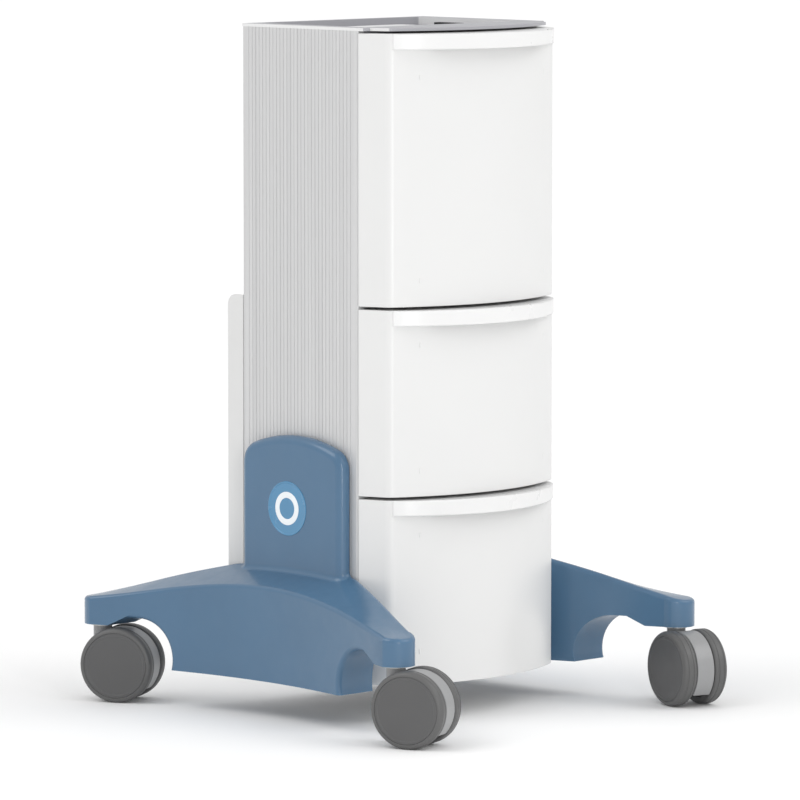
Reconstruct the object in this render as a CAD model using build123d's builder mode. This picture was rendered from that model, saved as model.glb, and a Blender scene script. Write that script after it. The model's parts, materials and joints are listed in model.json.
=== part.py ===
from build123d import *
import math
import os

# A mobile therapy-equipment trolley: an aluminium column with three drawers, a docking deck on top,
# two moulded side feet and four twin-wheel swivel castors.
# X runs across the cart, -Y is the drawer side, +Z is up and the floor is Z = 0. Sizes are in mm.

# ---------------------------------------------------------------- driving dimensions
# castor rectangle and column
stem_x = 263.0
stem_y = 279.0
column_height = 907.0
column_half_width = 168.0
column_front = -112.0
column_rear = 105.0

# ribbed side panels
panel_thickness = 12.0
panel_bottom = 60.0
panel_edge_radius = 3.0
rib_pitch = 6.6
rib_groove = 1.6
rib_depth = 0.5
rib_margin = 9.0

# sheet pieces of the column
sheet = 2.0
base_plate_thickness = 8.0

# bowed drawer fronts
front_bottom = 51.0
lower_gap_height = 296.0
upper_gap_height = 543.8
front_gap = 4.0
front_joint = 1.5
front_corner_inset = 15.0
front_corner_depth = 41.2
front_bow = 41.3
front_corner_radius = 18.0
front_wall = 3.0
front_edge_radius = 1.2
front_boss_radius = 6.0

# full-width pulls
pull_height = 20.5
pull_reach = 22.0
pull_end_inset = 4.0
pull_end_depth = 3.0
pull_wall = 3.5
pull_roof = 5.0
pull_edge_radius = 1.5
pull_groove_half = 100.0

# top deck and what stands on it
deck_flange = 4.0
deck_gap = 3.0
deck_front_inset = 9.0
deck_thickness = 17.0
deck_side_gap = 0.5
deck_rim = 11.0
deck_recess = 10.0
deck_corner_radius = 10.0
dock_plate_width = 150.0
dock_plate_depth = 120.0
dock_plate_thickness = 3.0
dock_plate_radius = 8.0
dock_socket_x = 108.0
dock_socket_width = 12.0
dock_socket_depth = 46.0
dock_socket_height = 6.0
dock_socket_wall = 1.5

# drawer trays
tray_wall = 3.0
tray_rear_gap = 8.0
tray_floor_gap = 10.0
tray_head_room = 22.0
tray_sheet_gap = 0.1

# telescopic runners, measured from the panel towards the tray
runner_thickness = 12.7
runner_half_height = 22.5
runner_length = 200.0
runner_front_gap = 2.0
runner_rise = 60.0
runner_steel = 1.2
runner_race = 3.0
runner_step = 3.4
runner_mouth = 1.5
runner_inner_lip = 6.7
ball_radius = 1.4
ball_pitch = 24.0
ball_count = 4

# rear cable duct
duct_depth = 29.0
duct_top = 548.0
duct_bottom = 62.0
duct_wall = 3.0
duct_corner_radius = 14.0
duct_boss_radius = 6.0
duct_screw_x = 150.0
duct_screw_low = 104.0
duct_screw_high = 500.0

# moulded feet
foot_boss_radius = 24.5
foot_waist_x = 233.0
foot_bottom = 49.5
foot_boss_bottom = 103.0
foot_inner_straight = 110.0
foot_inner_blend = 30.0
foot_crease_radius = 5.5
crest_margin = 2.5
# share of the stem distance along the foot, crest height beyond the boss, crest height at the column
foot_crest = (
    (-1.15, 136.0, 130.0),
    (-0.97, 140.5, 158.5),
    (-0.75, 142.4, 180.0),
    (-0.5, 147.0, 190.0),
    (0.0, 153.0, 198.0),
    (0.5, 147.0, 190.0),
    (0.75, 142.4, 180.0),
    (0.97, 140.5, 158.5),
    (1.15, 136.0, 130.0),
)
arch_radius = 52.0
arch_from_stem = 67.0
arch_centre_height = 63.0
arm_flat_from_stem = 49.0
boss_flat_from_stem = 25.0
upright_thickness = 19.0
upright_half_width = 95.0
upright_centre_y = -5.0
upright_top = 370.0
upright_arch_drop = 21.0
upright_corner_radius = 28.0
upright_edge_radius = 11.0
upright_foot_radius = 8.0
pocket_wall = 7.0
pocket_top = 128.0
pocket_rib = 18.0
pocket_half_length = 140.0

# round badges on the feet
badge_radius = 36.0
badge_thickness = 1.8
badge_seat = 1.0
badge_gap = 0.2
badge_edge_radius = 0.6
badge_rim = 3.0
badge_dish = 0.4
badge_y = 1.0
badge_height = 274.0

# castors
wheel_radius = 50.0
wheel_width = 20.0
wheel_edge_radius = 6.0
wheel_inner_edge_radius = 2.0
wheel_rim = 9.0
wheel_hub_radius = 11.0
wheel_hollow = 8.0
castor_width = 68.0
castor_trail = 28.0
hood_width = 26.0
hood_inset = 1.5
hood_shell = 4.0
hood_web = 10.0
hood_skirt_height = 17.0
hood_end_angle = 175.0
hood_web_bottom = 36.0
hood_edge_radius = 1.5
hub_radius = 11.0
neck_radius = 12.5
neck_bottom = 60.0
swivel_gap = 0.5
race_height = 2.0
race_radius = 16.0
axle_radius = 4.0
axle_end_gap = 0.5
bore_depth = 15.0
running_clearance = 0.05
stem_radius = 5.5
stem_rise = 30.0
stem_drop = 26.0
stem_end_gap = 1.0
heading_front_left = -68.7
heading_front_right = -105.4
heading_rear_left = -61.2
heading_rear_right = -116.7

# fasteners
bolt_radius = 4.0
bolt_head_radius = 6.5
bolt_head_height = 4.5
bolt_clearance = 0.25
bolt_y = 66.0
bolt_low = 84.0
bolt_high = 328.0
bolt_grip = 13.0
bolt_end_gap = 1.0
bolt_key = 5.0
screw_radius = 2.0
screw_head_radius = 3.8
screw_head_height = 2.0
screw_clearance = 0.1
screw_bite = 9.0
screw_end_gap = 1.0
front_screw_x = 110.0
front_screw_margin = 25.0

# ---------------------------------------------------------------- derived places
panel_inner_x = column_half_width - panel_thickness
flange_bottom = column_height - deck_flange
deck_bottom = column_height - deck_thickness
deck_floor = column_height - deck_recess
base_bottom = panel_bottom - base_plate_thickness
column_middle_y = (column_front + column_rear) / 2
inside_rear_y = column_rear - sheet
inside_middle_y = (column_front + inside_rear_y) / 2
inside_depth = inside_rear_y - column_front
front_rear_y = column_front - front_joint
corner_x = column_half_width - front_corner_inset
corner_y = front_rear_y - front_corner_depth
face_y = corner_y - front_bow
face_radius = (corner_x**2 + front_bow**2) / (2 * front_bow)
tray_half_width = panel_inner_x - runner_thickness
tray_rear_y = inside_rear_y - tray_rear_gap
tray_depth = tray_rear_y - front_rear_y
castor_half_width = castor_width / 2
hood_radius = wheel_radius - hood_inset
wheel_inner_y = castor_half_width - wheel_width
neck_top = foot_boss_bottom - race_height - swivel_gap
crest_outer_x = stem_x + foot_boss_radius + crest_margin
upright_face_x = column_half_width + upright_thickness
upright_shoulder = upright_top - upright_arch_drop
upright_low_y = upright_centre_y - upright_half_width
upright_high_y = upright_centre_y + upright_half_width
bolt_places = [(y, z) for y in (-bolt_y, bolt_y) for z in (bolt_low, bolt_high)]
duct_screw_places = [
    (x, z) for x in (-duct_screw_x, duct_screw_x) for z in (duct_screw_low, duct_screw_high)
]

# every drawer's name, the underside and top of its front, and the floor and ceiling of its space
levels = (
    ("lower", front_bottom, lower_gap_height - front_gap / 2, panel_bottom, lower_gap_height - sheet / 2),
    (
        "middle",
        lower_gap_height + front_gap / 2,
        upper_gap_height - front_gap / 2,
        lower_gap_height + sheet / 2,
        upper_gap_height - sheet / 2,
    ),
    (
        "upper",
        upper_gap_height + front_gap / 2,
        flange_bottom - deck_gap,
        upper_gap_height + sheet / 2,
        deck_bottom,
    ),
)

# every castor's name, the place of its stem and the direction in which it trails
castors = (
    ("front_left", -stem_x, -stem_y, heading_front_left),
    ("front_right", stem_x, -stem_y, heading_front_right),
    ("rear_left", -stem_x, stem_y, heading_rear_left),
    ("rear_right", stem_x, stem_y, heading_rear_right),
)


def castor_span(place_y, heading):
    """Lowest and highest Y that a castor reaches at its stored heading."""
    angle = math.radians(heading)
    half = abs(castor_half_width * math.cos(angle)) + abs(wheel_radius * math.sin(angle))
    middle = place_y + castor_trail * math.sin(angle)
    return middle - half, middle + half


# the frame's origin is the middle of the footprint, and the trailing castors carry that forward of
# the column's own middle, so the cart stands this far back in its frame
castor_spans = [castor_span(place_y, heading) for _, _, place_y, heading in castors]
cart_shift = -(min(low for low, _ in castor_spans) + max(high for _, high in castor_spans)) / 2


def facing_side(x):
    """Plane at x that faces +X: its first direction is +Y and its second is +Z."""
    return Plane(origin=(x, 0, 0), x_dir=(0, 1, 0), z_dir=(1, 0, 0))


def facing_front(y):
    """Plane at y that faces -Y: its first direction is +X and its second is +Z."""
    return Plane(origin=(0, y, 0), x_dir=(1, 0, 0), z_dir=(0, -1, 0))


def bow_y(x):
    """Y of the bowed drawer face at x."""
    return face_y + face_radius - math.sqrt(face_radius**2 - x**2)


def both_sides(piece):
    """A right-hand piece and its mirror image on the left, as separate solids."""
    return Compound(children=[*piece.solids(), *mirror(piece, about=Plane.YZ).solids()])


def finish(piece, name):
    """Move a piece's solids into the cart's frame, label the piece and write its STEP file."""
    placed = [Location((0, cart_shift, 0)) * solid for solid in piece.solids()]
    whole = placed[0] if len(placed) == 1 else Compound(children=placed)
    whole.label = name
    export_step(whole, f"parts/{name}.step")


os.makedirs("parts", exist_ok=True)


# ---------------------------------------------------------------- column
def front_plan(height, inset=0.0):
    """Plan of a drawer front: tapered sides, rounded corners and a bowed face, set in all round."""
    with BuildSketch(Plane.XY.offset(height)) as plan:
        with BuildLine():
            Line((-column_half_width, front_rear_y), (-corner_x, corner_y))
            ThreePointArc((-corner_x, corner_y), (0, face_y), (corner_x, corner_y))
            Line((corner_x, corner_y), (column_half_width, front_rear_y))
            Line((column_half_width, front_rear_y), (-column_half_width, front_rear_y))
        make_face()
        fillet(plan.vertices().sort_by(Axis.Y)[:2], front_corner_radius)
        if inset > 0:
            offset(amount=-inset, mode=Mode.REPLACE)
    return plan.sketch


# ribbed aluminium panels that stand on the base plate
with BuildPart() as side_panel:
    with BuildSketch(Plane.XY.offset(panel_bottom)) as panel_plan:
        with Locations((panel_inner_x + panel_thickness / 2, column_middle_y)):
            Rectangle(panel_thickness, column_rear - column_front)
        fillet(panel_plan.vertices().group_by(Axis.X)[-1], panel_edge_radius)
        rib_count = int((column_rear - column_front - 2 * rib_margin) // rib_pitch)
        with Locations((column_half_width, column_middle_y)):
            with GridLocations(rib_pitch, rib_pitch, 1, rib_count):
                Rectangle(2 * rib_depth, rib_groove, mode=Mode.SUBTRACT)
    extrude(amount=flange_bottom - panel_bottom)
    with BuildSketch(facing_side(panel_inner_x)):
        with Locations(bolt_places):
            Circle(bolt_radius + bolt_clearance)
    extrude(amount=panel_thickness, mode=Mode.SUBTRACT)
finish(side_panel.part, "side_panel_right")
finish(mirror(side_panel.part, about=Plane.YZ), "side_panel_left")

with BuildPart() as back_panel:
    with BuildSketch(facing_front(column_rear)):
        with Locations((0, (panel_bottom + flange_bottom) / 2)):
            Rectangle(2 * panel_inner_x, flange_bottom - panel_bottom)
        with Locations(duct_screw_places):
            Circle(screw_radius + screw_clearance, mode=Mode.SUBTRACT)
    extrude(amount=sheet)
finish(back_panel.part, "back_panel")

for shelf_name, shelf_height in (("lower_shelf", lower_gap_height), ("upper_shelf", upper_gap_height)):
    with BuildPart() as shelf:
        with BuildSketch(Plane.XY.offset(shelf_height - sheet / 2)):
            with Locations((0, inside_middle_y)):
                Rectangle(2 * panel_inner_x, inside_depth)
        extrude(amount=sheet)
    finish(shelf.part, shelf_name)

with BuildPart() as base_plate:
    with BuildSketch(Plane.XY.offset(base_bottom)):
        with Locations((0, column_middle_y)):
            Rectangle(2 * column_half_width, column_rear - column_front)
    extrude(amount=base_plate_thickness)
finish(base_plate.part, "base_plate")

# ---------------------------------------------------------------- docking deck
with BuildPart() as top_deck:
    # flange over the panels, with a bowed front edge behind the drawer face
    with BuildSketch(Plane.XY.offset(flange_bottom)):
        add(front_plan(0, deck_front_inset))
        with Locations((0, (column_rear + front_rear_y - deck_front_inset) / 2)):
            Rectangle(2 * column_half_width, column_rear - front_rear_y + deck_front_inset)
    extrude(amount=deck_flange)
    # tub that hangs between the panels
    with BuildSketch(Plane.XY.offset(deck_bottom)):
        with Locations((0, inside_middle_y)):
            Rectangle(2 * (panel_inner_x - deck_side_gap), inside_depth - 2 * deck_side_gap)
    extrude(amount=deck_thickness)
    # recess in which the docked device stands
    with BuildSketch(Plane.XY.offset(deck_floor)):
        with Locations((0, inside_middle_y)):
            RectangleRounded(
                2 * (panel_inner_x - deck_rim), inside_depth - 2 * deck_rim, deck_corner_radius
            )
    extrude(amount=deck_recess, mode=Mode.SUBTRACT)
finish(top_deck.part, "top_deck")

with BuildPart() as dock_plate:
    with BuildSketch(Plane.XY.offset(deck_floor)):
        with Locations((0, inside_middle_y)):
            RectangleRounded(dock_plate_width, dock_plate_depth, dock_plate_radius)
    extrude(amount=dock_plate_thickness)
finish(dock_plate.part, "dock_plate")

with BuildPart() as dock_socket:
    with BuildSketch(Plane.XY.offset(deck_floor)):
        with Locations((dock_socket_x, inside_middle_y)):
            RectangleRounded(dock_socket_width, dock_socket_depth, dock_socket_wall)
    extrude(amount=dock_socket_height)
    with BuildSketch(Plane.XY.offset(deck_floor + dock_socket_wall)):
        with Locations((dock_socket_x, inside_middle_y)):
            Rectangle(dock_socket_width - 2 * dock_socket_wall, dock_socket_depth - 2 * dock_socket_wall)
    extrude(amount=dock_socket_height, mode=Mode.SUBTRACT)
finish(dock_socket.part, "dock_socket")

# ---------------------------------------------------------------- rear cable duct
with BuildPart() as duct_cover:
    with BuildSketch(facing_side(-column_half_width)) as duct_side:
        with Locations((column_rear + duct_depth / 2, (duct_bottom + duct_top) / 2)):
            Rectangle(duct_depth, duct_top - duct_bottom)
        fillet(duct_side.vertices().sort_by(Axis.Y)[-2:].sort_by(Axis.X)[-1], duct_corner_radius)
    extrude(amount=2 * column_half_width)
    # hollow towards the back panel and open at the top, where cables drop in
    with BuildSketch(Plane.XY.offset(duct_bottom + duct_wall)):
        with Locations((0, column_rear + (duct_depth - duct_wall) / 2)):
            Rectangle(2 * (column_half_width - duct_wall), duct_depth - duct_wall)
    extrude(amount=duct_top - duct_bottom, mode=Mode.SUBTRACT)
    # screw bosses that reach the back panel
    with BuildSketch(facing_front(column_rear + duct_depth - duct_wall)):
        with Locations(duct_screw_places):
            Circle(duct_boss_radius)
    extrude(amount=duct_depth - duct_wall)
    with BuildSketch(facing_front(column_rear + duct_depth)):
        with Locations(duct_screw_places):
            Circle(screw_radius + screw_clearance)
    extrude(amount=duct_depth, mode=Mode.SUBTRACT)
    with BuildSketch(facing_front(column_rear + duct_depth)):
        with Locations(duct_screw_places):
            Circle(screw_head_radius + screw_clearance)
    extrude(amount=screw_head_height, mode=Mode.SUBTRACT)
finish(duct_cover.part, "cable_duct_cover")

with BuildPart() as duct_screws:
    with BuildSketch(facing_front(column_rear + duct_depth)):
        with Locations(duct_screw_places):
            Circle(screw_head_radius)
    extrude(amount=screw_head_height)
    with BuildSketch(facing_front(column_rear + duct_depth - screw_head_height)):
        with Locations(duct_screw_places):
            Circle(screw_radius)
    extrude(amount=duct_depth - screw_head_height + 2 * sheet)
finish(duct_screws.part, "duct_screws")

# ---------------------------------------------------------------- drawers
for level, front_low, front_high, floor, ceiling in levels:
    tray_low = floor + tray_floor_gap
    tray_high = ceiling - tray_head_room
    screw_heights = (tray_low + front_screw_margin, tray_high - front_screw_margin)
    screw_places = [(x, z) for x in (-front_screw_x, front_screw_x) for z in screw_heights]

    # bowed front: a moulding that is open behind, with bosses for the tray's screws
    with BuildPart() as front:
        add(front_plan(front_low))
        extrude(amount=front_high - front_low)
        rim_edges = front.edges().group_by(Axis.Z)[0] + front.edges().group_by(Axis.Z)[-1]
        fillet([edge for edge in rim_edges if edge.center().Y < front_rear_y - 1], front_edge_radius)
        with BuildSketch(Plane.XY.offset(front_low + front_wall)):
            add(front_plan(0, front_wall))
            with Locations((0, front_rear_y - front_wall)):
                Rectangle(2 * (column_half_width - 2 * front_wall), 2 * front_wall)
        extrude(amount=front_high - front_low - 2 * front_wall, mode=Mode.SUBTRACT)
        with BuildSketch(facing_front(front_rear_y)):
            with Locations(screw_places):
                Circle(front_boss_radius)
        extrude(amount=front_rear_y - bow_y(front_screw_x) - front_wall / 2)
        with BuildSketch(facing_front(front_rear_y)):
            with Locations(screw_places):
                Circle(screw_radius + screw_clearance)
        extrude(amount=screw_bite + screw_end_gap, mode=Mode.SUBTRACT)
    finish(front.part, f"{level}_drawer_front")

    # full-width pull along the top edge of the front, hollowed under for the fingers
    pull_low = front_high - pull_height
    pull_half = corner_x - pull_end_inset
    pull_tip_y = face_y - pull_reach
    pull_end_y = bow_y(pull_half) - pull_end_depth
    pull_bow = pull_end_y - pull_tip_y
    pull_radius = (pull_half**2 + pull_bow**2) / (2 * pull_bow)
    groove_radius = pull_radius - pull_wall
    groove_end_y = pull_tip_y + pull_radius - math.sqrt(groove_radius**2 - pull_groove_half**2)
    with BuildPart() as pull:
        with BuildSketch(Plane.XY.offset(pull_low)):
            with BuildLine():
                ThreePointArc((-pull_half, bow_y(pull_half)), (0, face_y), (pull_half, bow_y(pull_half)))
                Line((pull_half, bow_y(pull_half)), (pull_half, pull_end_y))
                ThreePointArc((pull_half, pull_end_y), (0, pull_tip_y), (-pull_half, pull_end_y))
                Line((-pull_half, pull_end_y), (-pull_half, bow_y(pull_half)))
            make_face()
        extrude(amount=pull_height)
        front_edges = pull.edges().filter_by(GeomType.CIRCLE).sort_by(Axis.Y)[:2]
        fillet(front_edges, pull_edge_radius)
        with BuildSketch(Plane.XY.offset(pull_low)):
            with BuildLine():
                ThreePointArc(
                    (-pull_groove_half, bow_y(pull_groove_half)),
                    (0, face_y),
                    (pull_groove_half, bow_y(pull_groove_half)),
                )
                Line((pull_groove_half, bow_y(pull_groove_half)), (pull_groove_half, groove_end_y))
                ThreePointArc(
                    (pull_groove_half, groove_end_y),
                    (0, pull_tip_y + pull_wall),
                    (-pull_groove_half, groove_end_y),
                )
                Line((-pull_groove_half, groove_end_y), (-pull_groove_half, bow_y(pull_groove_half)))
            make_face()
        extrude(amount=pull_height - pull_roof, mode=Mode.SUBTRACT)
    finish(pull.part, f"{level}_drawer_pull")

    # tray of five sheets: a floor, two sides on it, and a front and a rear sheet between the sides
    sheet_low = tray_low + tray_wall + tray_sheet_gap
    sheet_middle = (sheet_low + tray_high) / 2
    tray_middle_y = (front_rear_y + tray_rear_y) / 2
    side_x = tray_half_width - tray_wall / 2
    end_y = (tray_depth - tray_wall) / 2
    with BuildPart() as tray:
        with Locations((0, tray_middle_y, tray_low + tray_wall / 2)):
            Box(2 * tray_half_width, tray_depth, tray_wall)
        with Locations((-side_x, tray_middle_y, sheet_middle), (side_x, tray_middle_y, sheet_middle)):
            Box(tray_wall, tray_depth, tray_high - sheet_low)
        with Locations(
            (0, tray_middle_y - end_y, sheet_middle), (0, tray_middle_y + end_y, sheet_middle)
        ):
            Box(2 * (side_x - tray_wall / 2 - tray_sheet_gap), tray_wall, tray_high - sheet_low)
        with BuildSketch(facing_front(front_rear_y)):
            with Locations(screw_places):
                Circle(screw_radius + screw_clearance)
        extrude(amount=-tray_wall, mode=Mode.SUBTRACT)
    finish(tray.part, f"{level}_drawer_tray")

    with BuildPart() as front_screws:
        with BuildSketch(facing_front(front_rear_y + tray_wall)):
            with Locations(screw_places):
                Circle(screw_head_radius)
        extrude(amount=-screw_head_height)
        with BuildSketch(facing_front(front_rear_y + tray_wall)):
            with Locations(screw_places):
                Circle(screw_radius)
        extrude(amount=tray_wall + screw_bite)
    finish(front_screws.part, f"{level}_drawer_screws")

    # telescopic runners: an outer, a middle and an inner channel, each given by where its web
    # and its open side are, measured from the panel, and by half its height
    race_step = runner_steel + runner_race
    members = (
        ("outer", 0.0, runner_thickness - runner_mouth, runner_half_height),
        ("middle", runner_step, runner_thickness - runner_mouth, runner_half_height - race_step),
        ("inner", runner_thickness, runner_thickness - runner_inner_lip, runner_half_height - 2 * race_step),
    )
    runner_height = tray_low + runner_rise
    runner_front_y = column_front + runner_front_gap
    for member_name, web_at, open_at, half_height in members:
        towards_open = math.copysign(runner_steel, open_at - web_at)
        with BuildPart() as member:
            with BuildSketch(facing_front(runner_front_y)):
                with Locations((panel_inner_x - (web_at + open_at) / 2, runner_height)):
                    Rectangle(abs(open_at - web_at), 2 * half_height)
                with Locations((panel_inner_x - (web_at + open_at) / 2 - towards_open, runner_height)):
                    Rectangle(
                        abs(open_at - web_at), 2 * (half_height - runner_steel), mode=Mode.SUBTRACT
                    )
            extrude(amount=-runner_length)
        finish(both_sides(member.part), f"{level}_runner_{member_name}")

    # steel balls in the two races above and the two below the runner's middle
    outer_race = runner_half_height - runner_steel - runner_race / 2
    inner_race = outer_race - race_step
    outer_race_x = panel_inner_x - (runner_step + runner_thickness - runner_mouth) / 2
    inner_race_x = panel_inner_x - (runner_thickness - runner_inner_lip + runner_thickness - runner_mouth) / 2
    with BuildPart() as balls:
        for ball in range(ball_count):
            ball_y = runner_front_y + runner_length / 2 + (ball - (ball_count - 1) / 2) * ball_pitch
            for race_x, race in ((outer_race_x, outer_race), (inner_race_x, inner_race)):
                with Locations(
                    (race_x, ball_y, runner_height + race), (race_x, ball_y, runner_height - race)
                ):
                    Sphere(ball_radius)
    finish(both_sides(balls.part), f"{level}_runner_balls")


# ---------------------------------------------------------------- feet
def foot_plan(height, inset=0.0):
    """Plan of the right foot: round bosses about the stems, a waisted outer side and a straight
    inner side that splays out to the bosses, set in all round."""
    outer_x = stem_x + foot_boss_radius
    inner_x = stem_x - foot_boss_radius
    with BuildSketch(Plane.XY.offset(height)) as plan:
        with BuildLine():
            ThreePointArc((outer_x, -stem_y), (foot_waist_x, 0), (outer_x, stem_y))
            ThreePointArc((outer_x, stem_y), (stem_x, stem_y + foot_boss_radius), (inner_x, stem_y))
            Line((inner_x, stem_y), (column_half_width, foot_inner_straight))
            Line((column_half_width, foot_inner_straight), (column_half_width, -foot_inner_straight))
            Line((column_half_width, -foot_inner_straight), (inner_x, -stem_y))
            ThreePointArc((inner_x, -stem_y), (stem_x, -stem_y - foot_boss_radius), (outer_x, -stem_y))
        make_face()
        fillet(plan.vertices().group_by(Axis.X)[0], foot_inner_blend)
        if inset > 0:
            offset(amount=-inset, mode=Mode.REPLACE)
    return plan.sketch


def crest_profile(x, inward):
    """Side view of a foot's upper limit at x: a crest that is highest at the middle, and higher by
    the inward share of the difference between the crest against the column and the outer one."""
    crest = [
        (place * stem_y, outer + inward * (inner - outer))
        for place, outer, inner in foot_crest
    ]
    with BuildSketch(facing_side(x)) as profile:
        with BuildLine():
            Spline(*crest)
            Polyline(crest[-1], (crest[-1][0], 0), (crest[0][0], 0), crest[0])
        make_face()
    return profile.sketch


arch_y = stem_y - arch_from_stem
arch_top = arch_centre_height + arch_radius
arch_mouth_y = arch_y - math.sqrt(arch_radius**2 - (arch_centre_height - foot_bottom) ** 2)
beyond_y = stem_y + 2 * foot_boss_radius

# limit of the top surface, which slopes down outwards from the column
with BuildPart() as crest_limit:
    add(crest_profile(column_half_width, 1.0))
    add(crest_profile(crest_outer_x, 0.0))
    loft(ruled=True)

with BuildPart() as upright:
    # plate against the side panel, with a low arched top and a rounded outer edge
    with BuildSketch(facing_side(column_half_width)) as upright_side:
        with BuildLine():
            ThreePointArc(
                (upright_low_y, upright_shoulder),
                (upright_centre_y, upright_top),
                (upright_high_y, upright_shoulder),
            )
            Polyline(
                (upright_high_y, upright_shoulder),
                (upright_high_y, pocket_top),
                (upright_low_y, pocket_top),
                (upright_low_y, upright_shoulder),
            )
        make_face()
        fillet(upright_side.vertices().group_by(Axis.Y)[-1], upright_corner_radius)
    extrude(amount=upright_thickness)
    upright_rim = upright.faces().sort_by(Axis.X)[-1].edges().sort_by(Axis.Z)[1:]
    fillet(upright_rim, upright_edge_radius)

with BuildPart() as foot:
    add(foot_plan(foot_bottom))
    extrude(amount=upright_top)
    add(crest_limit.part, mode=Mode.INTERSECT)
    # wheel arches at both ends and the flat undersides of the bosses
    with BuildSketch(facing_side(0)):
        with BuildLine():
            Line((arch_mouth_y, 0), (arch_mouth_y, foot_bottom))
            RadiusArc((arch_mouth_y, foot_bottom), (arch_y, arch_top), arch_radius)
            Polyline(
                (arch_y, arch_top),
                (stem_y - arm_flat_from_stem, arch_top),
                (stem_y - boss_flat_from_stem, foot_boss_bottom),
                (beyond_y, foot_boss_bottom),
                (beyond_y, 0),
                (arch_mouth_y, 0),
            )
        make_face()
        mirror(about=Plane.YZ)
    extrude(amount=2 * stem_x, mode=Mode.SUBTRACT)
    # upright, with a cove where it meets the top surface
    add(upright.part)
    cove_edges = [
        edge
        for edge in foot.edges().filter_by(GeomType.BSPLINE)
        if column_half_width < edge.center().X < upright_face_x + 1
        and upright_low_y - 1 < edge.center().Y < upright_high_y + 1
        and edge.center().Z > arch_top
    ]
    fillet(cove_edges, upright_foot_radius)
    # rounded crease along the top of the outer wall
    crease_edges = [
        edge
        for edge in foot.edges().filter_by(GeomType.BSPLINE)
        if edge.center().X > upright_face_x + upright_foot_radius and edge.length > foot_boss_radius
    ]
    fillet(crease_edges, foot_crease_radius)
    # pockets in the underside, with ribs where the lower bolts bite
    with BuildSketch(Plane.XY.offset(foot_bottom)):
        add(foot_plan(0, pocket_wall))
        Rectangle(4 * stem_x, 2 * pocket_half_length, mode=Mode.INTERSECT)
        with Locations((0, -bolt_y), (0, bolt_y)):
            Rectangle(4 * stem_x, pocket_rib, mode=Mode.SUBTRACT)
    extrude(amount=pocket_top - foot_bottom, mode=Mode.SUBTRACT)
    # sockets for the castor stems
    with BuildSketch(Plane.XY.offset(foot_boss_bottom)):
        with Locations((stem_x, -stem_y), (stem_x, stem_y)):
            Circle(stem_radius + running_clearance)
    extrude(amount=stem_rise + stem_end_gap, mode=Mode.SUBTRACT)
    # holes for the bolts and the seat of the badge
    with BuildSketch(facing_side(column_half_width)):
        with Locations(bolt_places):
            Circle(bolt_radius + running_clearance)
    extrude(amount=bolt_grip + bolt_end_gap, mode=Mode.SUBTRACT)
    with BuildSketch(facing_side(upright_face_x - badge_seat)):
        with Locations((badge_y, badge_height)):
            Circle(badge_radius + badge_gap)
    extrude(amount=badge_seat, mode=Mode.SUBTRACT)
finish(foot.part, "foot_right")
finish(mirror(foot.part, about=Plane.YZ), "foot_left")

with BuildPart() as badge:
    with BuildSketch(facing_side(upright_face_x - badge_seat)):
        with Locations((badge_y, badge_height)):
            Circle(badge_radius)
    extrude(amount=badge_thickness)
    fillet(badge.edges().group_by(Axis.X)[-1], badge_edge_radius)
    with BuildSketch(facing_side(upright_face_x - badge_seat + badge_thickness)):
        with Locations((badge_y, badge_height)):
            Circle(badge_radius - badge_rim)
    extrude(amount=-badge_dish, mode=Mode.SUBTRACT)
finish(badge.part, "badge_right")
finish(mirror(badge.part, about=Plane.YZ), "badge_left")

with BuildPart() as foot_bolts:
    with BuildSketch(facing_side(panel_inner_x - bolt_head_height)):
        with Locations(bolt_places):
            Circle(bolt_head_radius)
    extrude(amount=bolt_head_height)
    with BuildSketch(facing_side(panel_inner_x)):
        with Locations(bolt_places):
            Circle(bolt_radius)
    extrude(amount=panel_thickness + bolt_grip)
    # hexagon sockets in the heads
    with BuildSketch(facing_side(panel_inner_x - bolt_head_height)):
        with Locations(bolt_places):
            RegularPolygon(bolt_key / 2, 6, major_radius=False)
    extrude(amount=bolt_head_height / 2, mode=Mode.SUBTRACT)
finish(both_sides(foot_bolts.part), "foot_bolts")

# ---------------------------------------------------------------- castors
# stems fixed in the feet, and the race rings over which the castors turn
stem_places = [(x, y) for _, x, y, _ in castors]
with BuildPart() as castor_stems:
    with BuildSketch(Plane.XY.offset(neck_top - stem_drop)):
        with Locations(stem_places):
            Circle(stem_radius)
    extrude(amount=foot_boss_bottom + stem_rise - neck_top + stem_drop)
finish(castor_stems.part, "castor_stems")

with BuildPart() as swivel_races:
    with BuildSketch(Plane.XY.offset(foot_boss_bottom - race_height)):
        with Locations(stem_places):
            Circle(race_radius)
            Circle(stem_radius + running_clearance, mode=Mode.SUBTRACT)
    extrude(amount=race_height)
finish(swivel_races.part, "swivel_races")

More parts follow.
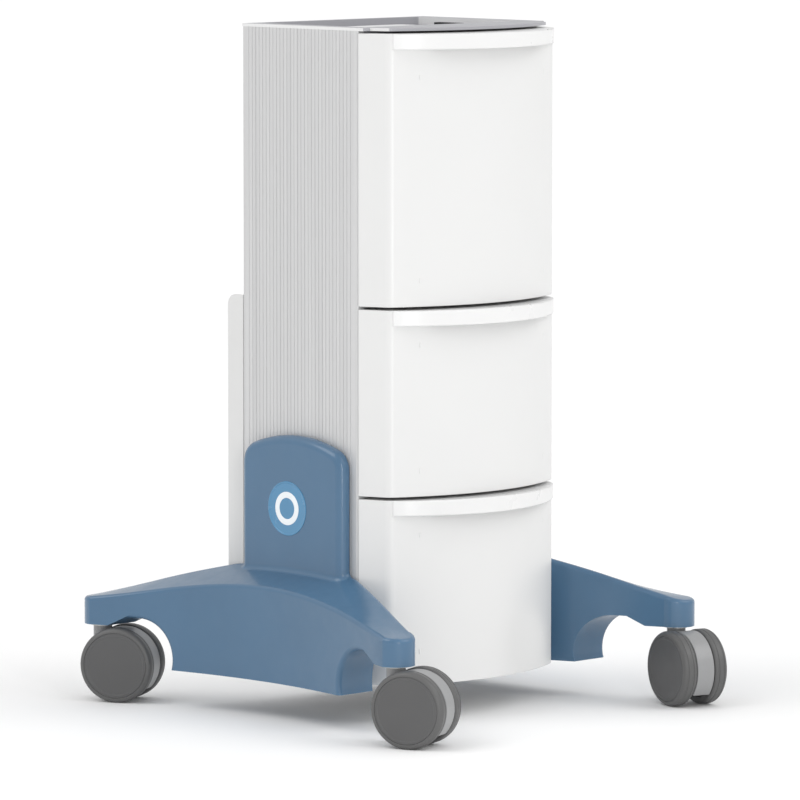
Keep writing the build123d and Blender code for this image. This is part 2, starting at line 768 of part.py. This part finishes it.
# one castor about its stem: it trails along +X and its axle runs along Y
skirt_angle = -math.degrees(math.asin((wheel_radius - hood_skirt_height) / hood_radius))
with BuildPart() as hood:
    with BuildSketch(Plane.XZ.offset(-hood_width / 2)):
        with BuildLine():
            CenterArc((castor_trail, wheel_radius), hood_radius, skirt_angle, hood_end_angle - skirt_angle)
            CenterArc(
                (castor_trail, wheel_radius),
                hood_radius - hood_shell,
                skirt_angle,
                hood_end_angle - skirt_angle,
            )
            for end_angle in (skirt_angle, hood_end_angle):
                PolarLine(
                    (
                        castor_trail + (hood_radius - hood_shell) * math.cos(math.radians(end_angle)),
                        wheel_radius + (hood_radius - hood_shell) * math.sin(math.radians(end_angle)),
                    ),
                    hood_shell,
                    end_angle,
                )
        make_face()
    extrude(amount=hood_width)
    hood_rim = [edge for edge in hood.edges().filter_by(GeomType.CIRCLE) if edge.radius > hood_radius - 1]
    fillet(hood_rim, hood_edge_radius)
    # web between the axle, the shell and the neck
    with BuildSketch(Plane.XZ.offset(-hood_web / 2)):
        with Locations((castor_trail, wheel_radius)):
            Circle(hood_radius - hood_shell / 2)
        with Locations((castor_trail, hood_web_bottom / 2)):
            Rectangle(4 * hood_radius, hood_web_bottom, mode=Mode.SUBTRACT)
    extrude(amount=hood_web)
    # axle hub and swivel neck
    with BuildSketch(Plane.XZ.offset(-hood_width / 2)):
        with Locations((castor_trail, wheel_radius)):
            Circle(hub_radius)
    extrude(amount=hood_width)
    with BuildSketch(Plane.XY.offset(neck_bottom)):
        Circle(neck_radius)
    extrude(amount=neck_top - neck_bottom)
    # bores for the axle and the stem
    with BuildSketch(Plane.XZ.offset(-hood_width / 2)):
        with Locations((castor_trail, wheel_radius)):
            Circle(axle_radius + running_clearance)
    extrude(amount=hood_width, mode=Mode.SUBTRACT)
    with BuildSketch(Plane.XY.offset(neck_top)):
        Circle(stem_radius + running_clearance)
    extrude(amount=-(stem_drop + stem_end_gap), mode=Mode.SUBTRACT)

with BuildPart() as axle:
    with BuildSketch(Plane.XZ.offset(axle_end_gap - wheel_inner_y - bore_depth)):
        with Locations((castor_trail, wheel_radius)):
            Circle(axle_radius)
    extrude(amount=2 * (wheel_inner_y + bore_depth - axle_end_gap))

with BuildPart() as wheel:
    with BuildSketch(Plane.XZ.offset(-castor_half_width)):
        with Locations((castor_trail, wheel_radius)):
            Circle(wheel_radius)
    extrude(amount=wheel_width)
    fillet(wheel.edges().sort_by(Axis.Y)[-1], wheel_edge_radius)
    fillet(wheel.edges().filter_by(GeomType.CIRCLE).sort_by(Axis.Y)[0], wheel_inner_edge_radius)
    # hollow between hub and rim, on the hood's side
    with BuildSketch(Plane.XZ.offset(-wheel_inner_y)):
        with Locations((castor_trail, wheel_radius)):
            Circle(wheel_radius - wheel_rim)
            Circle(wheel_hub_radius, mode=Mode.SUBTRACT)
    extrude(amount=-wheel_hollow, mode=Mode.SUBTRACT)
    with BuildSketch(Plane.XZ.offset(-wheel_inner_y)):
        with Locations((castor_trail, wheel_radius)):
            Circle(axle_radius + running_clearance)
    extrude(amount=-bore_depth, mode=Mode.SUBTRACT)

for corner, place_x, place_y, heading in castors:
    place = Location((place_x, place_y, 0), (0, 0, heading))
    finish(place * hood.part, f"{corner}_castor_hood")
    finish(place * axle.part, f"{corner}_castor_axle")
    finish(place * wheel.part, f"{corner}_castor_wheel_left")
    finish(place * mirror(wheel.part, about=Plane.XZ), f"{corner}_castor_wheel_right")
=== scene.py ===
"""Looks of the equipment trolley: a finish for every CAD part, and detailed castor wheels and badges."""
import json
import math

import bmesh
import bpy
import numpy as np
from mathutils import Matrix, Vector


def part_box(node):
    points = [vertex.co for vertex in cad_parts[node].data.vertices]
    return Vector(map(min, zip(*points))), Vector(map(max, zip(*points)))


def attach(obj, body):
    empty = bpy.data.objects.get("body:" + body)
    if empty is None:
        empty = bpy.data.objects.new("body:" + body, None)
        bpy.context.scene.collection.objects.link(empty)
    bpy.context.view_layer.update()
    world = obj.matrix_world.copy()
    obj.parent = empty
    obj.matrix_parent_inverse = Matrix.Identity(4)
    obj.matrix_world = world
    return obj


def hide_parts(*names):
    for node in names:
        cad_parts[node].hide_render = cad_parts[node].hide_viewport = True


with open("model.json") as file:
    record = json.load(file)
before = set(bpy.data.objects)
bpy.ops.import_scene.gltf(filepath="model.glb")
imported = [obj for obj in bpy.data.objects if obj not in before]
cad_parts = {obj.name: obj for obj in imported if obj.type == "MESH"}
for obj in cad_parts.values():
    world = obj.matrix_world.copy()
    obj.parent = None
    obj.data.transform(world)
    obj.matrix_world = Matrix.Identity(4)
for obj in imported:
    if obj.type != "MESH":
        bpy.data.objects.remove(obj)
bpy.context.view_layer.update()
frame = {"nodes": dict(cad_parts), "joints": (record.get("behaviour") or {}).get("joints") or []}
nodes = frame["nodes"]
LEVELS = ("lower", "middle", "upper")
CORNERS = ("front_left", "front_right", "rear_left", "rear_right")
MM = 0.001

# castor wheels: how far their inner faces stand from the castor's middle, and the parts of a turn
WHEEL_INNER_FACE = 14 * MM
TYRE_TURNS, DISC_TURNS, BADGE_TURNS = 128, 96, 120

# smooth shading stops where two faces meet by more than this, in radians
SHARP_ANGLE = 0.6

# studio
FLOOR_REACH = 60.0
SKY_STRENGTH = 0.8
AIM_HEIGHT = 0.45

# camera: where it stands as the views are counted, how far off, and what it looks at
CAMERA_AZIMUTH, CAMERA_ELEVATION, CAMERA_DISTANCE = -44.73, 5.81, 8.2338
CAMERA_LENS, CAMERA_SENSOR = 278.2, 36.0
LOOK_HEIGHT, LOOK_RIGHT = 0.4038, 0.01456


# ---------------------------------------------------------------- finishes
class Finish:
    """A material under construction: a Principled shader and the nodes that feed it."""

    def __init__(self, name, colour, roughness, metallic=0.0, coat=0.0, coat_roughness=0.1):
        self.material = bpy.data.materials.new(name)
        self.material.use_nodes = True
        self.tree = self.material.node_tree
        self.shader = self.tree.nodes["Principled BSDF"]
        self.colour = (*colour, 1.0)
        self.set("Base Color", self.colour)
        self.set("Roughness", roughness)
        self.set("Metallic", metallic)
        self.set("Coat Weight", coat)
        self.set("Coat Roughness", coat_roughness)
        self.place = self.tree.nodes.new("ShaderNodeTexCoord").outputs["Object"]
        self.height = None

    def set(self, socket, value):
        self.shader.inputs[socket].default_value = value

    def node(self, kind, **settings):
        made = self.tree.nodes.new(kind)
        for key, value in settings.items():
            if key in made.inputs:
                made.inputs[key].default_value = value
            else:
                setattr(made, key, value)
        return made

    def link(self, source, target):
        self.tree.links.new(source, target)

    def stretched(self, scale):
        """Object coordinates multiplied by a scale along each axis."""
        mapping = self.node("ShaderNodeMapping")
        mapping.inputs["Scale"].default_value = scale
        self.link(self.place, mapping.inputs["Vector"])
        return mapping.outputs["Vector"]

    def noise(self, scale, detail=3.0, stretch=(1, 1, 1), rough=0.55):
        """Cloud noise from 0 to 1, scale cells a metre."""
        texture = self.node("ShaderNodeTexNoise", Scale=scale, Detail=detail, Roughness=rough)
        self.link(self.stretched(stretch), texture.inputs["Vector"])
        return texture.outputs["Fac"]

    def levels(self, source, low, high, to_low, to_high):
        """Straight-line map of a value from one range to another, held at the ends."""
        ramp = self.node("ShaderNodeMapRange")
        for key, value in (("From Min", low), ("From Max", high), ("To Min", to_low), ("To Max", to_high)):
            ramp.inputs[key].default_value = value
        self.link(source, ramp.inputs["Value"])
        return ramp.outputs["Result"]

    def tint(self, factor, colour):
        """Blend the colour so far towards another one by a factor."""
        mix = self.node("ShaderNodeMix", data_type="RGBA")
        self.link(factor, mix.inputs["Factor"])
        base = self.shader.inputs["Base Color"]
        if base.links:
            self.link(base.links[0].from_socket, mix.inputs["A"])
        else:
            mix.inputs["A"].default_value = self.colour
        mix.inputs["B"].default_value = (*colour, 1.0)
        self.link(mix.outputs["Result"], base)

    def rough(self, source, low, high, to_low, to_high):
        self.link(self.levels(source, low, high, to_low, to_high), self.shader.inputs["Roughness"])

    def bump(self, source, strength, distance):
        """Add a relief on top of the ones before it; distance is its height in metres."""
        relief = self.node("ShaderNodeBump", Strength=strength, Distance=distance)
        self.link(source, relief.inputs["Height"])
        if self.height is not None:
            self.link(self.height, relief.inputs["Normal"])
        self.height = relief.outputs["Normal"]
        self.link(self.height, self.shader.inputs["Normal"])

    def edges(self, radius, colour, amount):
        """Painted edge highlight: blend the colour towards another, lighter one where the surface turns
        within a radius, broken up by noise.
        """
        bevel = self.node("ShaderNodeBevel", samples=4, Radius=radius)
        shape = self.node("ShaderNodeNewGeometry")
        dot = self.node("ShaderNodeVectorMath", operation="DOT_PRODUCT")
        self.link(bevel.outputs["Normal"], dot.inputs[0])
        self.link(shape.outputs["Normal"], dot.inputs[1])
        edge_highlight = self.levels(dot.outputs["Value"], 0.999, 0.9, 0.0, amount)
        broken = self.node("ShaderNodeMath", operation="MULTIPLY")
        self.link(edge_highlight, broken.inputs[0])
        self.link(self.levels(self.noise(60, 4), 0.35, 0.65, 0.2, 1.0), broken.inputs[1])
        self.tint(broken.outputs["Value"], colour)


def moulded(name, colour, roughness, grain, depth, coat=0.0, cloud=0.05, edge_highlight=None, wave=0.0012):
    """Moulded plastic: fine spark-eroded grain, slow waves, clouding of colour and gloss, and, given a
    colour, a painted highlight along the edges. Grain is in cells a metre; depth and wave are the heights of
    the grain and the waves."""
    finish = Finish(name, colour, roughness, coat=coat, coat_roughness=0.18)
    finish.bump(finish.noise(grain, 3), 0.35, depth)
    finish.bump(finish.noise(9, 2), 0.06, wave)
    finish.rough(finish.noise(34, 4), 0.3, 0.7, roughness * 0.86, roughness * 1.16)
    clouded = tuple(channel * (1 - cloud) for channel in colour)
    finish.tint(finish.levels(finish.noise(7, 4), 0.35, 0.7, 0.0, 1.0), clouded)
    # painted highlight: the edges lightened towards the given colour
    if edge_highlight:
        finish.edges(0.0012, edge_highlight, 0.5)
    return finish


def finishes():
    """Every finish of the trolley, by name."""
    made = {}
    # name, colour, roughness, grain, grain depth, and what differs from the usual
    for name, colour, roughness, grain, depth, rest in (
        ("case_white", (0.735, 0.735, 0.73), 0.36, 1700, 0.00003, dict(coat=0.2, cloud=0.008, wave=0.0004)),
        ("pull_white", (0.775, 0.775, 0.772), 0.3, 1700, 0.00003, dict(coat=0.3, cloud=0.008, wave=0.0004)),
        ("duct_white", (0.70, 0.70, 0.695), 0.38, 1500, 0.00004, dict(cloud=0.03)),
        ("dock_white", (0.78, 0.78, 0.78), 0.32, 1500, 0.00003, dict(coat=0.2, cloud=0.02)),
        ("tray_grey", (0.50, 0.51, 0.52), 0.45, 900, 0.00006, dict(cloud=0.05)),
        ("socket_black", (0.02, 0.02, 0.022), 0.35, 1500, 0.00003, dict(cloud=0.1)),
        ("hood_grey", (0.30, 0.302, 0.306), 0.38, 1100, 0.00005, dict(coat=0.15, cloud=0.06)),
        ("tyre_grey", (0.11, 0.11, 0.11), 0.44, 700, 0.00008, dict(cloud=0.12)),
        ("sheet_paint", (0.58, 0.585, 0.59), 0.5, 800, 0.00012, dict(cloud=0.04)),
        # wheel disc: a painted highlight along its edges
        ("wheel_disc", (0.095, 0.095, 0.096), 0.42, 1200, 0.00005, dict(cloud=0.1, edge_highlight=(0.2, 0.2, 0.2))),
        ("badge_blue", (0.055, 0.235, 0.43), 0.25, 2200, 0.00001, dict(coat=0.8, cloud=0.1)),
        ("badge_white", (0.84, 0.88, 0.91), 0.25, 2200, 0.00001, dict(coat=0.8, cloud=0.04)),
    ):
        made[name] = moulded(name, colour, roughness, grain, depth, **rest)

    # deck: white, with painted shade: the front edge, top and recess are darkened to grey by the way each
    # face is turned
    deck = moulded("deck_grey", (0.77, 0.77, 0.77), 0.34, 1200, 0.00005, cloud=0.03)
    shape = deck.node("ShaderNodeNewGeometry")
    split = deck.node("ShaderNodeSeparateXYZ")
    deck.link(shape.outputs["Normal"], split.inputs[0])
    # painted shade on faces turned to the front
    deck.tint(deck.levels(split.outputs["Y"], -0.7, -0.5, 1.0, 0.0), (0.40, 0.40, 0.425))
    # painted shade on faces turned upward
    deck.tint(deck.levels(split.outputs["Z"], 0.5, 0.7, 0.0, 1.0), (0.33, 0.33, 0.355))
    made["deck_grey"] = deck

    # ribbed panel: extruded and anodised, with drawn lines that run up the panel
    panel = Finish("panel_aluminium", (0.63, 0.63, 0.632), 0.5, metallic=0.25)
    lines = panel.noise(1, 5, stretch=(2600, 2600, 9), rough=0.7)
    panel.bump(lines, 0.25, 0.00005)
    panel.rough(lines, 0.3, 0.7, 0.36, 0.5)
    streaks = panel.noise(1, 3, stretch=(150, 150, 1.2))
    panel.tint(panel.levels(streaks, 0.35, 0.7, 0.0, 1.0), (0.575, 0.575, 0.578))
    # painted highlight along the panel's edges
    panel.edges(0.0008, (0.7, 0.7, 0.7), 0.25)
    made["panel_aluminium"] = panel

    # feet: tinted moulding under a clear coat, with a painted highlight along the edges
    foot = moulded(
        "foot_blue", (0.058, 0.143, 0.25), 0.48, 1300, 0.00003,
        coat=0.8, cloud=0.07, edge_highlight=(0.16, 0.27, 0.4), wave=0.0006,
    )
    foot.set("Coat Roughness", 0.15)
    foot.set("Specular IOR Level", 0.35)
    made["foot_blue"] = foot

    # zinc-plated steel with fine drawn lines and a faint yellow cast
    steel = Finish("zinc_steel", (0.62, 0.62, 0.60), 0.3, metallic=1.0)
    drawn = steel.noise(1, 4, stretch=(1500, 60, 1500), rough=0.7)
    steel.bump(drawn, 0.2, 0.00004)
    steel.rough(drawn, 0.3, 0.7, 0.24, 0.4)
    steel.tint(steel.levels(steel.noise(40, 4), 0.4, 0.7, 0.0, 1.0), (0.56, 0.55, 0.50))
    made["zinc_steel"] = steel
    return {name: finish.material for name, finish in made.items()}


FINISH = finishes()


def dress(name, finish):
    """Give a CAD node one of the finishes."""
    for slot in nodes[name].material_slots:
        slot.material = FINISH[finish]


for side in ("left", "right"):
    dress(f"side_panel_{side}", "panel_aluminium")
    dress(f"foot_{side}", "foot_blue")
    dress(f"badge_{side}", "badge_blue")
for plate in ("back_panel", "lower_shelf", "upper_shelf", "base_plate"):
    dress(plate, "sheet_paint")
for level in LEVELS:
    dress(f"{level}_drawer_front", "case_white")
    dress(f"{level}_drawer_pull", "pull_white")
    dress(f"{level}_drawer_tray", "tray_grey")
    for metal in ("drawer_screws", "runner_outer", "runner_middle", "runner_inner", "runner_balls"):
        dress(f"{level}_{metal}", "zinc_steel")
for corner in CORNERS:
    dress(f"{corner}_castor_hood", "hood_grey")
    dress(f"{corner}_castor_axle", "zinc_steel")
for name, finish in (
    ("top_deck", "deck_grey"),
    ("dock_plate", "dock_white"),
    ("dock_socket", "socket_black"),
    ("cable_duct_cover", "duct_white"),
    ("duct_screws", "zinc_steel"),
    ("foot_bolts", "zinc_steel"),
    ("castor_stems", "zinc_steel"),
    ("swivel_races", "zinc_steel"),
):
    dress(name, finish)


# ---------------------------------------------------------------- surfaces
def grid_faces(rows, columns):
    """Quads of a grid whose points are counted along its columns first, and whose last column meets
    its first one: each quad joins a point, the next one round, and the two under them."""
    row, column = np.meshgrid(np.arange(rows - 1), np.arange(columns), indexing="ij")
    after = (column + 1) % columns
    here, below = row * columns, (row + 1) * columns
    return np.stack([here + column, here + after, below + after, below + column], -1).reshape(-1, 4)


def rounded(corners, radii, steps):
    """Profile in metres from corners and radii in mm. A corner with a radius is cut by a quadratic arc
    that starts and ends that far from it: (1-t)^2 start + 2t(1-t) corner + t^2 end, for t from 0 to 1."""
    corners = np.array(corners, float) * MM
    points = []
    for i, (corner, radius) in enumerate(zip(corners, radii)):
        if radius == 0:
            points.append(corner[None])
            continue
        before = corners[i - 1] - corner
        after = corners[i + 1] - corner
        start = corner + before / np.linalg.norm(before) * radius * MM
        end = corner + after / np.linalg.norm(after) * radius * MM
        t = np.linspace(0, 1, steps)[:, None]
        points.append((1 - t) ** 2 * start + 2 * t * (1 - t) * corner + t**2 * end)
    return np.vstack(points)


def lathe(name, profile, centre, axis, body, finish, turns):
    """Surface of revolution: a profile point (distance from the axis r, place along it p) goes round as
    centre + p axis + r (side cos a + up sin a), for as many angles a as there are turns. The axis is
    level. A profile that closes on itself, or begins and ends on the axis, gives a closed solid."""
    axis = np.array(axis, float) / np.linalg.norm(axis)
    side = np.cross(axis, (0.0, 0.0, 1.0))
    side = side / np.linalg.norm(side)
    up = np.cross(axis, side)
    angle = np.linspace(0, 2 * math.pi, turns, endpoint=False)
    ring = np.cos(angle)[:, None] * side + np.sin(angle)[:, None] * up
    radius, along = profile[:, 0], profile[:, 1]
    grid = np.array(centre) + along[:, None, None] * axis + radius[:, None, None] * ring[None]
    return surface(name, grid.reshape(-1, 3), grid_faces(len(profile), turns), body, finish)


def surface(name, points, faces, body, finish):
    """Mesh from whole arrays of points and faces, with doubles merged and normals outward, which is
    smooth up to a sharp angle and rides a body."""
    mesh = bpy.data.meshes.new(name)
    mesh.from_pydata(points.tolist(), [], faces.tolist())
    work = bmesh.new()
    work.from_mesh(mesh)
    bmesh.ops.remove_doubles(work, verts=work.verts, dist=1e-6)
    bmesh.ops.dissolve_degenerate(work, edges=work.edges, dist=1e-7)
    bmesh.ops.recalc_face_normals(work, faces=work.faces)
    work.to_mesh(mesh)
    work.free()
    mesh.shade_smooth()
    mesh.set_sharp_from_angle(angle=SHARP_ANGLE)
    piece = bpy.data.objects.new(name, mesh)
    bpy.context.scene.collection.objects.link(piece)
    piece.data.materials.append(FINISH[finish])
    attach(piece, body)
    return piece


# ---------------------------------------------------------------- wheels
joints = {joint["name"]: joint for joint in frame["joints"]}


def wheel(corner, hand):
    """Castor wheel as two turned pieces on one axis: a soft tyre, and a hard disc, slightly dished, set
    into it. Places along the axis are counted from the wheel's inner face."""
    joint = joints[f"{corner}_wheel_{hand}_spin"]
    node = f"{corner}_castor_wheel_{hand}"
    body = f"{corner}_wheel_{hand}"
    low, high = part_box(node)
    centre = np.array(joint["pos_m"], float)
    axis = np.array(joint["axis"], float)
    middle = (np.array(low) + np.array(high)) / 2
    if np.dot(middle - centre, axis) < 0:
        axis = -axis
    inner = centre + axis * WHEEL_INNER_FACE
    # tyre: ring stepped inside for the disc, crowned tread with two shallow grooves, rounded shoulders
    tread = [(41, 8), (41, 0.6), (47.6, 0.0), (49.9, 2.2), (50, 5.2), (49.35, 5.6), (49.35, 6.4), (50, 6.8),
             (50, 13.2), (49.4, 13.6), (49.4, 14.3), (49.95, 14.7), (49.5, 16.4), (47.2, 19.2), (44.4, 19.8),
             (43.7, 19.5), (43.4, 8)]
    radii = [0, 0.5, 1.4, 1.6, 0.2, 0.2, 0.2, 0.2, 0.2, 0.2, 0.2, 0.5, 2.0, 2.0, 0.3, 0.1, 0]
    profile = rounded(tread, radii, 5)
    profile = np.vstack([profile, profile[:1]])
    tyre = lathe(f"{corner}_tyre_{hand}", profile, inner, axis, body, "tyre_grey", TYRE_TURNS)
    # disc: closed at the face, hub with a bore at the back
    face = [(4.1, 15), (4.1, 0), (11, 0), (11, 8), (43.35, 8), (43.35, 19.3), (43.0, 19.6), (39.6, 19.7),
            (39.2, 19.3), (18, 19.0), (0, 18.8)]
    radii = [0, 0.3, 0.3, 0.8, 0.8, 0.1, 0.2, 0.3, 0.3, 6, 0]
    profile = np.vstack([[(0.0, 15 * MM)], rounded(face, radii, 4)])
    disc = lathe(f"{corner}_disc_{hand}", profile, inner, axis, body, "wheel_disc", DISC_TURNS)
    for piece in (tyre, disc):
        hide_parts(node)


for corner in CORNERS:
    for hand in ("left", "right"):
        wheel(corner, hand)


# ---------------------------------------------------------------- badges
def badge(side, sign):
    """Round badge as two turned pieces: a domed blue field with a raised rim, and a plain white ring
    laid on it."""
    low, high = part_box(f"badge_{side}")
    centre = (np.array(low) + np.array(high)) / 2
    seat = low[0] if sign > 0 else high[0]
    base = np.array([seat, centre[1], centre[2]])
    axis = (sign, 0, 0)
    rim = [(0, 0), (36, 0), (36, 1.5), (35.4, 1.8), (34.0, 1.8), (33.4, 1.3), (20, 1.42), (0, 1.5)]
    radii = [0, 0.2, 0.3, 0.3, 0.3, 0.3, 2, 0]
    field = rounded(rim, radii, 5)
    plate = lathe(f"badge_field_{side}", field, base, axis, "root", "badge_blue", BADGE_TURNS)
    ring = [(14, 1.2), (22, 1.2), (22, 1.58), (21.6, 1.7), (14.4, 1.75), (14, 1.6), (14, 1.2)]
    mark = lathe(f"badge_ring_{side}", np.array(ring) * MM, base, axis, "root", "badge_white", BADGE_TURNS)
    for piece in (plate, mark):
        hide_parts(f"badge_{side}")


badge("left", -1)
badge("right", 1)


# ---------------------------------------------------------------- floor, light and camera
floor_mesh = bpy.data.meshes.new("floor")
floor_corners = [(x * FLOOR_REACH, y * FLOOR_REACH, 0) for x, y in ((-1, -1), (1, -1), (1, 1), (-1, 1))]
floor_mesh.from_pydata(floor_corners, [], [(0, 1, 2, 3)])
floor = bpy.data.objects.new("floor", floor_mesh)
bpy.context.scene.collection.objects.link(floor)
floor_finish = Finish("studio_floor", (0.95, 0.95, 0.95), 0.75)
floor_finish.set("Specular IOR Level", 0.2)
floor.data.materials.append(floor_finish.material)

world = bpy.data.worlds.new("studio")
bpy.context.scene.world = world
world.use_nodes = True
sky = world.node_tree.nodes["Background"]
sky.inputs["Color"].default_value = (1.0, 1.0, 1.0, 1.0)
sky.inputs["Strength"].default_value = SKY_STRENGTH


def outward(azimuth, elevation):
    """Direction from the trolley towards a place, given in degrees as the views are: azimuth 0 is the
    drawer side and 90 is the right."""
    a, e = math.radians(azimuth), math.radians(elevation)
    return Vector((math.sin(a) * math.cos(e), -math.cos(a) * math.cos(e), math.sin(e)))


def aimed(name, data, place, back):
    """Object for a lamp's or camera's data at a place, which looks against the direction back."""
    made = bpy.data.objects.new(name, data)
    made.location = place
    made.rotation_mode = "QUATERNION"
    made.rotation_quaternion = (-back).to_track_quat("-Z", "Y")
    bpy.context.scene.collection.objects.link(made)
    return made


def sun(name, azimuth, elevation, strength, spread):
    """Soft sun from a direction; its strength is in watts a square metre and its spread in degrees."""
    data = bpy.data.lights.new(name, "SUN")
    data.energy = strength
    data.angle = math.radians(spread)
    aimed(name, data, (0, 0, 0), outward(azimuth, elevation))


def softbox(name, azimuth, elevation, distance, width, height, power):
    """Area light that looks at the middle of the trolley from a distance in metres."""
    data = bpy.data.lights.new(name, "AREA")
    data.shape = "RECTANGLE"
    data.size = width
    data.size_y = height
    data.energy = power
    back = outward(azimuth, elevation)
    aimed(name, data, Vector((0, 0, AIM_HEIGHT)) + back * distance, back)


sun("key", 32, 45, 0.66, 40)
sun("side", -120, 52, 0.6, 35)
softbox("strip", -30, 8, 2.5, 0.08, 1.6, 10)

# the stems' places give how far back the trolley stands in its frame
stems = [joint["pos_m"] for joint in frame["joints"] if joint["name"].endswith("_swivel")]
shift = sum(place[1] for place in stems) / len(stems)
back = outward(CAMERA_AZIMUTH, CAMERA_ELEVATION)
right = Vector((math.cos(math.radians(CAMERA_AZIMUTH)), math.sin(math.radians(CAMERA_AZIMUTH)), 0))
camera_data = bpy.data.cameras.new("camera")
camera_data.sensor_width = CAMERA_SENSOR
camera_data.lens = CAMERA_LENS
camera_data.clip_end = 200.0
target = right * LOOK_RIGHT + Vector((0, shift, LOOK_HEIGHT))
bpy.context.scene.camera = aimed("camera", camera_data, target + back * CAMERA_DISTANCE, back)
bpy.context.scene.view_settings.view_transform = "Standard"
